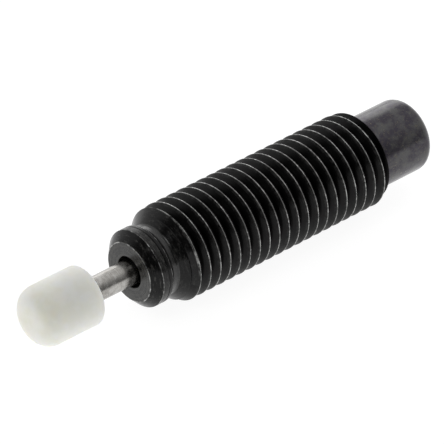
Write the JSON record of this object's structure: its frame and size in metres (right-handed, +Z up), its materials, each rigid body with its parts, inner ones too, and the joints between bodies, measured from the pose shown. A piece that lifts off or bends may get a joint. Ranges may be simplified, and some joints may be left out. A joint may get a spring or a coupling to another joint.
{
  "type": "shock absorber",
  "caption": "Miniature self-compensating shock absorber with a threaded body, a crimped neck, a sliding rod and a domed plastic impact cap.",
  "frame": {"origin": "on the axis, at the middle of the mounting thread's length", "axes": "+X along the axis from the impact cap to the closed end of the tube, +Z up as the unit lies level"},
  "size_m": [0.0386, 0.0078, 0.0078],
  "materials": {
    "black_steel": "black oxide, satin",
    "plain_steel": "turned",
    "ground_steel": "ground",
    "spring_steel": "drawn wire",
    "bearing_brass": "turned",
    "white_plastic": "turned, slightly translucent",
    "ring_plastic": "filled plastic",
    "seal_rubber": "moulded",
    "black_foam": "closed-cell foam"
  },
  "bodies": {
    "tube": {"outer_tube": "black_steel", "stop_collar": "black_steel", "wiper_ring": "seal_rubber", "seal_washer": "plain_steel", "rod_seal": "seal_rubber", "collar_o_ring": "seal_rubber", "rod_bearing": "bearing_brass", "accumulator_foam": "black_foam", "pressure_tube": "plain_steel", "return_spring": "spring_steel", "tube_base": "plain_steel", "seal_ball": "ground_steel", "fill_screw": "black_steel"},
    "spring_guide": {"spring_guide": "plain_steel"},
    "rod": {"piston_rod": "ground_steel", "impact_cap": "white_plastic", "piston": "plain_steel", "ring_plate": "plain_steel", "piston_nut": "plain_steel"},
    "check_ring": {"check_ring": "ring_plastic"}
  },
  "joints": [
    {"name": "rod_stroke", "type": "slide", "parent": "tube", "child": "spring_guide", "axis": [1, 0, 0], "range_m": [0, 0.0043], "stiffness_N_per_m": 480, "springref_m": -0.0042, "deforming": ["return_spring", "accumulator_foam"]},
    {"name": "rod_turn", "type": "hinge", "parent": "spring_guide", "child": "rod", "pos_m": [0, 0, 0], "axis": [1, 0, 0], "continuous": true},
    {"name": "check_ring_float", "type": "slide", "parent": "rod", "child": "check_ring", "axis": [1, 0, 0], "range_m": [0, 0.00025]}
  ]
}
